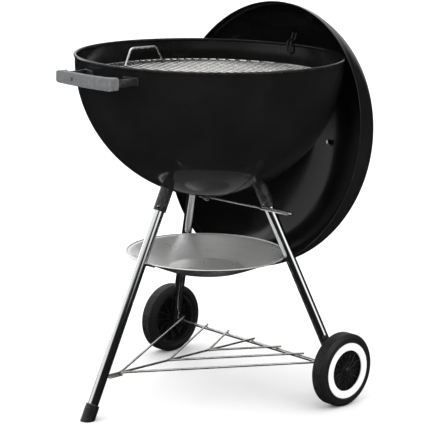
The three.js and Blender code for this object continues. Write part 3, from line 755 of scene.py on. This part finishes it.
def legMade(side, s):
    angle = legAngles[side]
    facing = Vector(polar(1, angle + buttonTurns[side]))
    centre = legPoint(angle, buttonZ)
    hole = rod(centre, centre + facing * 40 * mm, s["buttonRadius"] + 0.3)
    rear = side != "front"
    low = s["rearLow"] if rear else s["frontLow"]
    tools = [hole]
    if rear:
        tools.append(rod(axleAt - Vector((0.4, 0, 0)), axleAt + Vector((0.4, 0, 0)), 4.3))
    lean = along(legPoint(angle, low), legPoint(angle, s["topZ"]))
    shine = chromeFinish(f"polished tube {side}", lean.to_euler(), lean.translation)
    leg = combined("leg", tube(angle, low, seatZ - 9, s["radius"], s["radius"] - s["wall"]),
                   [merged("tools", *tools)])
    piece(f"leg_tube_{side}", leg, shine, "stand", f"leg_{side}")

    bore = s["radius"] + 0.3
    outer = bore + s["sleeveWall"]
    sleeve = combined("sleeve", tube(angle, sleeveLow, seatZ + 30, outer, bore, 0.9),
                      [merged("tools", bowlSolid, hole)])
    piece(f"leg_sleeve_{side}", sleeve, coated, "stand", f"leg_socket_{side}")

    reach = outer + s["buttonProud"]
    inner = s["radius"] - s["wall"]
    button = lathe("button", rounded([(0, inner - 6.5), (4.0, inner - 6.5), (4.0, inner - 3.2),
                   (3.4, inner - 3.2), (3.4, reach, 1.3), (0, reach + 0.4)]),
                   along(centre, centre + facing), 40)
    piece(f"push_button_{side}", button, chrome, f"button_{side}", f"leg_button_{side}")


for side in legAngles:
    legMade(side, legSizes)


def footCap(s):
    angle = legAngles["front"]
    outer = s["radius"] + 0.3 + s["capWall"]
    start = legPoint(angle, -12)
    end = legPoint(angle, s["capLength"] * math.cos(legTilt))
    length = (end - start).length / mm
    floorAt = 12 / math.cos(legTilt)
    ribs = []
    for k in range(3):
        z = floorAt + 13 + 5 * k
        ribs += [(outer, z), (outer + 0.7, z + 0.7), (outer + 0.7, z + 1.8), (outer, z + 2.5)]
    body = lathe("cap", rounded([(0, 0), (outer + 0.4, 0), *ribs, (outer, length, 1.2),
                 (s["radius"] + 0.3, length, 0.6), (s["radius"] + 0.3, floorAt + 10),
                 (0, floorAt + 10)]), along(start, end), 64)
    ground = slab((200, 200, 60), (0, 0, -30),
                  Matrix.Translation((0, legPoint(angle, 0).y, 0)))
    return combined("cap", body, [ground])


piece("foot_cap_front", footCap(legSizes), blackPlastic, "stand", "foot_cap")
print("legs built")

# axle and wheels

wheelSizes = {"radius": 78.5, "width": 38.0, "inner": 60.2, "track": 269.0, "ring": 44.0,
              "boss": 13.0, "axle": 4.0, "grooves": 5, "spokes": 28, "backRibs": 12, "legGap": 4.6}


def axleMade(s):
    half = s["track"] + s["width"] / 2 - 1
    start, end = axleAt - Vector((half * mm, 0, 0)), axleAt + Vector((half * mm, 0, 0))
    shape = lathe("axle", rounded([(0, 0), (s["axle"], 0, 0.8), (s["axle"], 2 * half, 0.8),
                                   (0, 2 * half)]), along(start, end), 40)
    piece("axle_rod", shape, plated, "stand", "axle")


def tyreProfile(s):
    half, r = s["width"] / 2, s["radius"]
    low, high = -half + 9.0, half - 9.0
    tread = []
    for k in range(s["grooves"]):
        z = low + (high - low) * k / (s["grooves"] - 1)
        tread += [(r, z - 1.0), (r - 1.5, z - 0.5), (r - 1.5, z + 0.5), (r, z + 1.0)]
    return rounded([(s["inner"], -half + 3, 1), (s["inner"] + 3, -half, 1), (r - 13, -half, 2),
                    (r - 11.5, -half + 0.8, 0.6), (r - 8, -half + 0.4, 3),
                    (r - 2, -half + 5, 3), (r, -half + 7.4, 1.5), *tread,
                    (r, half - 7.4, 1.5), (r - 2, half - 5, 3), (r - 8, half - 0.4, 3),
                    (r - 11.5, half - 0.8, 0.6), (r - 13, half, 2), (s["inner"] + 2, half, 1),
                    (s["inner"], half - 2, 1)], 4)


def wheelMade(side, s):
    sign = sides[side]
    facing = Matrix.Rotation(math.pi, 4, "Z") if sign < 0 else Matrix()
    toWheel = Matrix.Translation(axleAt + Vector((sign * s["track"] * mm, 0, 0))) @ facing
    turn = toWheel @ Matrix.Rotation(math.pi / 2, 4, "Y")
    body = f"wheel_{side}"
    half = s["width"] / 2
    tyre = lathe("tyre", tyreProfile(s), turn, 144, 40)
    piece(f"tyre_tread_{side}", tyre, rubber, body, f"tyre_{side}")

    hubOut = s["inner"] - 0.3
    face = half - 4.1
    drum = lathe("drum", rounded([(4.6, -1), (s["boss"], -1, 0.6), (s["boss"], 4), (52.6, 4, 1.5),
                 (53.6, -14), (hubOut, -14), (hubOut, face), (53, face, 0.8), (52.4, 7.5, 1.5),
                 (s["boss"], 7.5, 1.0), (s["boss"] - 1, 15.4, 1.0), (4.6, 15.4)]), turn, 96)
    # front spokes cross in pairs; the ribs behind are straight
    leaning = [wires([[placed(toWheel, x, *polar(s["boss"] - 1, 90 - lean)[:2]),
                       placed(toWheel, x - 1.0, *polar(53.4, 90 + lean)[:2])]],
                     1.05, blackPlastic, 1, 2, 8) for lean, x in ((9, 12.2), (-9, 10.4))]
    back = slab((9, 2.0, 41), (-0.2, 0, 32.8), toWheel)
    parts = [drum]
    hubPlace = toWheel.inverted()
    for shape, count in ((leaning[0], s["spokes"] // 2), (leaning[1], s["spokes"] // 2),
                         (back, s["backRibs"])):
        shape.transform(hubPlace)
        spun = grow(wheelTree, shape, {"Count": count, "Finish": blackPlastic})
        spun.transform(toWheel)
        parts.append(spun)
    piece(f"wheel_spokes_{side}", merged("hub", *parts), blackPlastic, body,
          f"wheel_hub_{side}")

    ringFace = half - 0.8
    ring = lathe("ring", rounded([(s["ring"], ringFace - 3), (hubOut, ringFace - 3),
                 (hubOut, ringFace, 1.0), (s["ring"], ringFace, 1.2)]), turn, 128)
    piece(f"white_ring_{side}", ring, whitePlastic, body, f"wheel_ring_{side}")

    cap = lathe("cap", rounded([(4.3, 16.6), (8.5, 16.6), (8.5, 18.6, 0.4), (7.2, 21, 1.4),
                (3.4, 22.7, 1.6), (0, 23), (0, 18.3), (4.3, 18.3)]), turn, 48)
    piece(f"hub_cap_{side}", cap, blackPlastic, "stand", f"axle_cap_{side}")


axleMade(wheelSizes)
for side in sides:
    wheelMade(side, wheelSizes)
print("wheels built")

# wire rack

rackSizes = {"wire": 2.4, "ease": 21.6, "rows": {"outer": 1.0, "middle": 0.654,
             "inner": 0.357}}


def rackMade(s):
    z = (axleAt.z / mm) + wheelSizes["axle"] + s["wire"] + 0.3
    end = (axleAt.y - axisY) / mm + 7
    legBack = -(legSizes["footRadius"] - legSlope * z - legSizes["radius"] / math.cos(legTilt))
    spine = wires([[point(0, legBack + 1.5, z), point(0, end, z)]], s["wire"], plated, 2, 2, 18)
    piece("rack_spine", spine, plated, "stand", "rack_centre")
    rackLong = end - legBack - 36
    splay = (wheelSizes["track"] - legSizes["radius"] - wheelSizes["legGap"]
             - s["ease"]) / rackLong
    for row, share in s["rows"].items():
        apex = end - share * rackLong
        for side, sign in sides.items():
            start = 2 * s["wire"] + 1.2
            arm = wires([[point(sign * (s["wire"] - 0.1), apex + 0.2, z - 0.3),
                          point(sign * start, apex + start / splay, z),
                          point(sign * splay * (end - apex), end, z)]],
                        s["wire"], plated, 6, 5, 18)
            piece(f"rack_arm_{row}_{side}", arm, plated, "stand", f"rack_{row}_{side}")
    softened("rack_leg_clip", "rack_clip", plated, "stand", 0.7)


rackMade(rackSizes)
print("rack built")

# ash pan and clips

panSizes = {"z": 309.0, "depth": 38.0, "floor": 82.0, "rim": 9.0, "wall": 1.5}


def panMade(s):
    radius = (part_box("ash_pan")[1].x) / mm
    wall = radius - s["rim"]
    low = s["z"] - s["depth"]
    dish = []
    for i in range(1, 12):
        t = i / 12
        r = s["floor"] + (wall - s["floor"]) * t
        sag = 1.6 * math.sin(math.pi * t)
        dish.append((r, low + (s["z"] - 3 - low) * t - sag))
    outer = [(0, low), (s["floor"], low, 5), *dish, (wall, s["z"] - 3, 2)]
    roll = [(radius - 1.6 + 1.6 * math.cos(math.radians(a)),
             s["z"] - 1.7 + 1.7 * math.sin(math.radians(a))) for a in range(-90, 181, 30)]
    inner = [(wall - 0.6, s["z"] - 3 + s["wall"], 2),
             *[(r - 0.4, z + s["wall"]) for r, z in reversed(dish)],
             (s["floor"] - 0.5, low + s["wall"], 5), (0, low + s["wall"])]
    return lathe("pan", rounded(outer + roll + inner), onAxis(), 160)


piece("ash_catcher", panMade(panSizes), spunPan, "stand", "ash_pan")


clipSizes = {"wire": 2.0, "half": 22.0, "inset": 4.1, "gap": 0.3}


def clipMade(side, s):
    turn = onAxis() @ Matrix.Rotation(math.radians(legAngles[side]), 4, "Z")
    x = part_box("ash_pan")[1].x / mm - s["inset"]
    z = panSizes["z"] - 3 - s["wire"] - s["gap"]
    stop = (legSizes["footRadius"] - legSlope * (z + s["wire"])
            - legSizes["radius"] / math.cos(legTilt) - s["gap"])
    runs = [(x, -s["half"], z), (x, s["half"], z)], [(x, 0, z), (stop, 0, z)]
    shape = wires([[placed(turn, *p) for p in run] for run in runs], s["wire"], coated, 3, 4,
                  16)
    piece(f"pan_rest_{side}", shape, coated, "stand", f"pan_clip_{side}")


for side in legAngles:
    clipMade(side, clipSizes)
print("pan built")

# grates

cookSizes = {"z": 686.0, "radius": 271.8, "wire": 2.4, "pitch": 15.0, "bars": 118.0,
             "turn": -5.0, "loop": 105.0, "loopTop": 68.0, "loopShift": 7.5,
             "loopHeight": 37.0}
coalSizes = {"radius": 219.0, "wire": 3.0, "pitch": 31.0, "bars": 104.0}


def grateMade(s, start, finish, place):
    mesh = grow(gridTree, start, {
        "Grid Radius": s["radius"] * mm, "Wire Radius": s["wire"] * mm * 0.92,
        "Ring Wire": s["wire"] * mm, "Pitch": s["pitch"] * mm,
        "Wires Each Side": int((s["radius"] - 3 * s["wire"]) / s["pitch"]),
        "Bar Offset": s["bars"] * mm, "Bar Drop": 1.75 * s["wire"] * mm, "Finish": finish}, 50)
    mesh.transform(place)
    return mesh


def cookingGrate(s):
    at = s["radius"] - 54
    loops = []
    for sign in (1, -1):
        foot, top, shift = s["loop"] / 2, s["loopTop"] / 2, sign * s["loopShift"]
        loops.append([Vector(p) * mm for p in (
            (sign * at, shift - foot, 0), (sign * (at + 4), shift - top, s["loopHeight"]),
            (sign * (at + 4), shift + top, s["loopHeight"]), (sign * at, shift + foot, 0))])
    handles = wires(loops, s["wire"], plated, 12, 8, 14)
    return grateMade(s, handles, plated, onAxis(s["z"])
                     @ Matrix.Rotation(math.radians(s["turn"]), 4, "Z"))


def charcoalGrate(s):
    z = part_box("charcoal_grate")[1].z / mm - 0.85 * s["wire"]
    return grateMade(s, bpy.data.meshes.new("none"), coated, onAxis(z))


piece("grill_grate", cookingGrate(cookSizes), plated, "cooking_grate", "cooking_grate",
      "grate_loop_right", "grate_loop_left")
piece("coal_grate", charcoalGrate(coalSizes), coated, "charcoal_grate", "charcoal_grate")
for i in range(1, 5):
    softened(f"grate_shelf_{i}", f"grate_bracket_{i}", plated, "stand", 0.5)
print("grates built")

# handles

softened("side_grip", "bowl_handle_grip", greyPlastic, "stand", 2.2, 4, 40)
for side in sides:
    softened(f"side_grip_arm_{side}", f"bowl_handle_arm_{side}", coated, "stand", 0.6)
print("bowl handle built")

# lid

lidSizes = {"radius": 288.0, "skirt": 18.0, "step": 4.0, "depth": 165.0, "power": 1.75,
            "wall": 1.2, "y": 154.536, "z": 548.008, "lean": 10.6, "edge": 1.1, "segments": 192,
            "rows": 44}
damperSizes = {"radius": 40.0, "seat": 118.0, "gap": 2.2, "thick": 1.4, "ring": 22.0,
               "hole": 9.0}
toLid = (Matrix.Translation(point(0, lidSizes["y"], lidSizes["z"]))
         @ Matrix.Rotation(-math.pi / 2 - math.radians(lidSizes["lean"]), 4, "X"))
domeRadius = lidSizes["radius"] - lidSizes["step"]


def lidHeight(radius, out=0.0):
    r = min(radius / (domeRadius + out), 1.0)
    return (lidSizes["skirt"] + 2 + (lidSizes["depth"] + out)
            * (1 - r ** lidSizes["power"]) ** (1 / lidSizes["power"]))


def lidProfile(s):
    foot = s["skirt"] + 2
    outer = [(r, foot + d) for r, d in domeRows(domeRadius, s["depth"], s["power"], s["rows"])]
    inner = [(r, foot + d) for r, d in domeRows(domeRadius - s["wall"], s["depth"] - s["wall"],
                                                s["power"], s["rows"])]
    at = s["radius"] - s["edge"] + 0.3
    bead = [(at + s["edge"] * math.cos(math.radians(a)),
             s["edge"] + s["edge"] * math.sin(math.radians(a))) for a in range(150, 391, 24)]
    step = rounded([(s["radius"], 3), (s["radius"], s["skirt"] - 1, 2), (domeRadius + 0.4,
                    s["skirt"] + 1.4, 1.4), outer[1]], 4)[1:-1]
    stepIn = rounded([outer[1], (domeRadius - s["wall"] + 0.2, s["skirt"] + 0.6, 1.4),
                      (s["radius"] - s["wall"], s["skirt"] - 2, 2),
                      (s["radius"] - s["wall"], 3)], 4)[1:-1]
    return bead + [(s["radius"], 3)] + step + outer[1:] + inner[::-1][:-1] + stepIn + [
        (s["radius"] - s["wall"], 3)]


def damperPlace():
    low, high = lidHeight(damperSizes["seat"] + 2), lidHeight(damperSizes["seat"] - 2)
    lean = math.atan2(high - low, 4)
    return (Matrix.Rotation(math.pi / 2, 4, "Z")
            @ Matrix.Translation(Vector((0, damperSizes["seat"], lidHeight(damperSizes["seat"])))
                                 * mm) @ Matrix.Rotation(-lean, 4, "X"))


onDamper = toLid @ damperPlace()


def ventPegs(turn, radius):
    pegs = []
    for k in range(4):
        x, y, _ = polar(damperSizes["ring"], 90 * k + turn)
        pegs.append(rod(placed(onDamper, x, y, -30), placed(onDamper, x, y, 30), radius))
    return pegs


pivot = rod(onDamper @ Vector((0, 0, -0.03)), onDamper @ Vector((0, 0, 0.03)), 3.6)
handleHoles = [rod(placed(toLid, x, 0, 120), placed(toLid, x, 0, 240), 3.6)
               for x in (-46, 46)]
lidShell = lathe("lid dome", lidProfile(lidSizes), toLid, lidSizes["segments"])
lidMesh = combined("lid dome", lidShell, [merged("holes", *ventPegs(45, damperSizes["hole"]),
                                                 pivot, *handleHoles)])
piece("lid_dome", lidMesh, enamel, "lid", "lid")


def damperDisc(s):
    # a disc laid over the dome; its turned-up tab is made apart, below
    bm = bmesh.new()
    rings, segments = 16, 96
    place = damperPlace()
    back = place.inverted()
    for out in (s["gap"], s["gap"] + s["thick"]):
        layer = []
        for i in range(rings + 1):
            r = s["radius"] * i / rings
            row = []
            for j in range(1 if i == 0 else segments):
                x, y, _ = polar(r, 360 * j / segments)
                at = placed(place, x, y, 0)
                for _ in range(3):
                    radius = math.hypot(at.x, at.y) / mm
                    lift = lidHeight(radius, out) * mm - at.z
                    local = back @ (at + Vector((0, 0, lift)))
                    local.x, local.y = x * mm, y * mm
                    at = place @ local
                row.append(bm.verts.new(at))
            layer.append(row)
        for a, b in zip(layer, layer[1:]):
            for j in range(segments):
                k = (j + 1) % segments
                corners = [a[j % len(a)], b[j], b[k]] + ([a[k]] if len(a) > 1 else [])
                bm.faces.new(corners if out > s["gap"] else corners[::-1])
        rims = (layer[-1],) if out == s["gap"] else (rims[0], layer[-1])
    for j in range(segments):
        k = (j + 1) % segments
        bm.faces.new([rims[0][j], rims[0][k], rims[1][k], rims[1][j]])
    return meshOf(bm, "damper", toLid)


damperMesh = combined("damper", damperDisc(damperSizes), [merged("holes", pivot, *ventPegs(
    0, damperSizes["hole"]))])
tabParts = [beveled("tab", slab(size, at, onDamper), 0.6) for size, at in (
    ((12, 16, 2), (0, damperSizes["radius"] + 4, 5.4)),
    ((12, 2.4, 5.4), (0, damperSizes["radius"] - 2.8, 4.2)))]
spunDamper = spunFinish("spun damper", onDamper.translation, onDamper.to_euler())
piece("damper_plate", merged("damper", damperMesh, *tabParts), spunDamper, "damper",
      "lid_damper")
softened("damper_pin", "damper_rivet", spunDamper, "lid", 0.8, 3, 40)
softened("handle_shield", "lid_handle_shield", chrome, "lid", 0.5)
softened("lid_grip", "lid_handle_grip", greyPlastic, "lid", 2.2, 4, 40)
for side in sides:
    softened(f"handle_spacer_{side}", f"lid_handle_spacer_{side}", blackPlastic, "lid", 0.6, 2,
             40)
    softened(f"handle_bolt_{side}", f"lid_handle_bolt_{side}", chrome, "lid", 0.6, 2, 40)

hookSizes = {"at": -32.0, "half": 5.0, "wire": 2.0, "gap": 0.6, "down": 20.0}


def hookMade(s):
    beadR = bowlSizes["radius"] - 0.5
    beadY = math.sqrt(beadR ** 2 - s["at"] ** 2)
    beadZ = bowlSizes["rimZ"] - bowlSizes["bead"]
    around = bowlSizes["bead"] + s["wire"] + 2 * s["gap"]

    def run(x):
        return [(x, beadY + 10.6, beadZ + 24.6), (x, beadY + around - 1, beadZ + around + 3),
                (x, beadY - around, beadZ + around), (x, beadY - around, beadZ - s["down"])]

    ends = run(s["at"] - s["half"]) + run(s["at"] + s["half"])[::-1]
    return wires([[point(*p) for p in ends]], s["wire"], coated, 4, 6, 16)


piece("rim_hook", hookMade(hookSizes), coated, "lid", "lid_hook")
print("lid built")

# floor, light and camera

stageSizes = {"floor": 60.0, "sky": 1.0, "fill": 1.75, "dim": 0.01,
              "floorColour": (0.78, 0.78, 0.78), "sun": 0.5, "sunAngle": 50.0,
              "sunTurn": (14, -10), "sunShine": 0.2}
# what shiny surfaces see: heading, height, full and faded half angle in degrees, strength
cards = {
    "backdrop": (136, 30, 22, 42, 0.9),
    "left wide": (-146, 46, 40, 60, 1.0),
    "left strip": (178, 8, 5, 15, 2.4),
    "front strip": (-70, 44, 9, 26, 1.0),
    "right strip": (6, 34, 14, 34, 1.3),
    "overhead": (0, 90, 26, 50, 0.9),
}


def floorMade(s):
    bm = bmesh.new()
    bmesh.ops.create_grid(bm, x_segments=2, y_segments=2, size=s["floor"] / 2)
    mesh = meshOf(bm, "floor")
    thing = linked("floor", mesh)
    made = Finish("pale floor", {"Specular IOR Level": 0.1, "Roughness": 0.9})
    shade = made.effect(smudge, Scale=0.5, Low=0.85, High=0.95)
    made.join("Roughness", shade["Roughness"])
    made.shader.inputs["Base Color"].default_value = (*s["floorColour"], 1)
    mesh.materials.append(made.material)
    thing.visible_glossy = False


def worldMade(s):
    world = bpy.data.worlds.new("studio")
    bpy.context.scene.world = world
    world.use_nodes = True
    tree = world.node_tree
    tree.nodes.clear()
    way = tree.nodes.new("ShaderNodeTexCoord").outputs["Generated"]
    shine = calc(tree, "ADD", s["dim"], 0.0)
    for heading, height, full, faded, strength in cards.values():
        level = math.cos(math.radians(height))
        aim = (level * math.cos(math.radians(heading)), level * math.sin(math.radians(heading)),
               math.sin(math.radians(height)))
        near = put(tree, "ShaderNodeVectorMath", {0: way, 1: aim}, operation="DOT_PRODUCT")
        glow = put(tree, "ShaderNodeMapRange", {"Value": near.outputs["Value"],
                   "From Min": math.cos(math.radians(faded)),
                   "From Max": math.cos(math.radians(full)), "To Max": strength},
                   interpolation_type="SMOOTHSTEP")
        shine = calc(tree, "ADD", shine, glow.outputs[0])
    path = tree.nodes.new("ShaderNodeLightPath").outputs
    seen, fill, gloss = (put(tree, "ShaderNodeBackground", {"Color": (1, 1, 1, 1),
                         "Strength": value}).outputs[0] for value in (s["sky"], s["fill"], shine))
    soft = put(tree, "ShaderNodeMixShader", {0: path["Is Glossy Ray"], 1: fill, 2: gloss})
    mixed = put(tree, "ShaderNodeMixShader", {0: path["Is Camera Ray"], 1: soft.outputs[0],
                                              2: seen})
    put(tree, "ShaderNodeOutputWorld", {"Surface": mixed.outputs[0]})


def sunMade(s):
    data = bpy.data.lights.new("high lamp", "SUN")
    data.energy, data.angle = s["sun"], math.radians(s["sunAngle"])
    data.specular_factor = s["sunShine"]
    lamp = linked("high lamp", data)
    lamp.rotation_euler = (*(math.radians(a) for a in s["sunTurn"]), 0)


view = {"place": (2759.6, -2636.7, 1217.8), "heading": 46.305, "down": 12.21, "yaw": 0.2,
        "roll": 1.03, "lens": 154.58, "sensor": 36.0, "clip": (0.05, 100)}


def cameraMade(s):
    data = bpy.data.cameras.new("camera")
    data.sensor_width, data.lens = s["sensor"], s["lens"]
    data.clip_start, data.clip_end = s["clip"]
    camera = linked("camera", data)
    down, yaw, roll = (math.radians(s[k]) for k in ("down", "yaw", "roll"))
    ahead = Vector((math.cos(down) * math.sin(yaw), math.cos(down) * math.cos(yaw),
                    -math.sin(down)))
    ahead.rotate(Matrix.Rotation(math.radians(s["heading"]), 3, "Z"))
    right = ahead.cross(Vector((0, 0, 1))).normalized()
    up = right.cross(ahead)
    side = right * math.cos(roll) + up * math.sin(roll)
    top = up * math.cos(roll) - right * math.sin(roll)
    turn = Matrix((side, top, -ahead)).transposed()
    camera.location = point(*s["place"])
    camera.rotation_euler = turn.to_euler()
    bpy.context.scene.camera = camera


floorMade(stageSizes)
worldMade(stageSizes)
sunMade(stageSizes)
cameraMade(view)
bpy.context.scene.view_settings.view_transform = "Standard"
print("stage built")

bpy.context.view_layer.update()
